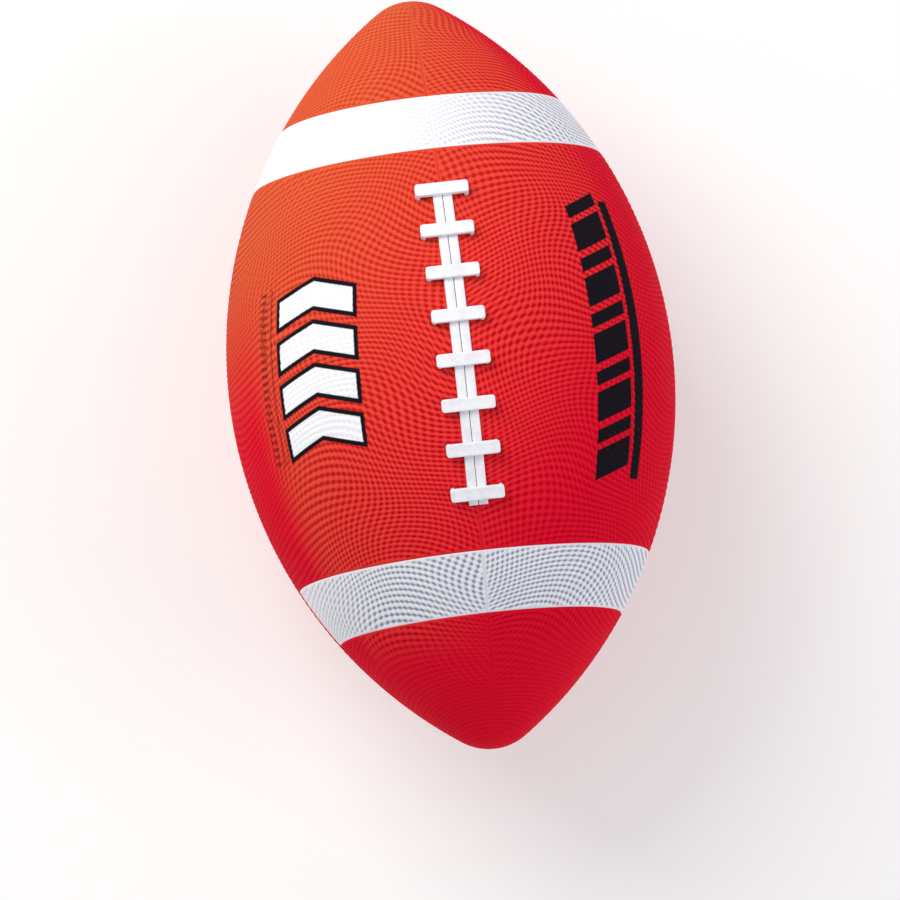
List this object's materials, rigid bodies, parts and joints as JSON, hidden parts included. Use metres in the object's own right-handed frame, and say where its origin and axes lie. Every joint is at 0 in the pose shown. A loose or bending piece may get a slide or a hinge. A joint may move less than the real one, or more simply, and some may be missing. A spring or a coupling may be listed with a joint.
{
  "type": "american football",
  "caption": "Inflated moulded-rubber American football: pointed ball with pebbled quarter panels, white stripes, raised white lacing and a needle valve.",
  "frame": {"origin": "middle of the ball, on its long axis", "axes": "+X along the long axis to the tip at the head of the lacing, +Z through the lacing, +Y to the left panels"},
  "size_m": [0.286, 0.168, 0.1709],
  "materials": {
    "cover_rubber": "satin pebbled orange-red rubber",
    "stripe_rubber": "satin pebbled white rubber",
    "lace_vinyl": "satin white",
    "bladder_rubber": "matte black butyl",
    "winding_nylon": "wound nylon thread",
    "carcass_cloth": "rubbered woven cloth",
    "valve_rubber": "matte black"
  },
  "bodies": {
    "root": {"bladder": "bladder_rubber", "winding": "winding_nylon", "carcass": "carcass_cloth", "valve_boot": "valve_rubber", "valve_core": "valve_rubber", "lace_backing_strip": "carcass_cloth", "panel_upper_left": "cover_rubber", "panel_upper_right": "cover_rubber", "panel_lower_left": "cover_rubber", "panel_lower_right": "cover_rubber", "stripe_head_left": "stripe_rubber", "stripe_head_right": "stripe_rubber", "stripe_foot_left": "stripe_rubber", "stripe_foot_right": "stripe_rubber", "lace_run_left": "lace_vinyl", "lace_run_right": "lace_vinyl", "lace_cross_bar_1": "lace_vinyl", "lace_cross_bar_2": "lace_vinyl", "lace_cross_bar_3": "lace_vinyl", "lace_cross_bar_4": "lace_vinyl", "lace_cross_bar_5": "lace_vinyl", "lace_cross_bar_6": "lace_vinyl", "lace_cross_bar_7": "lace_vinyl", "lace_cross_bar_8": "lace_vinyl"}
  },
  "joints": []
}
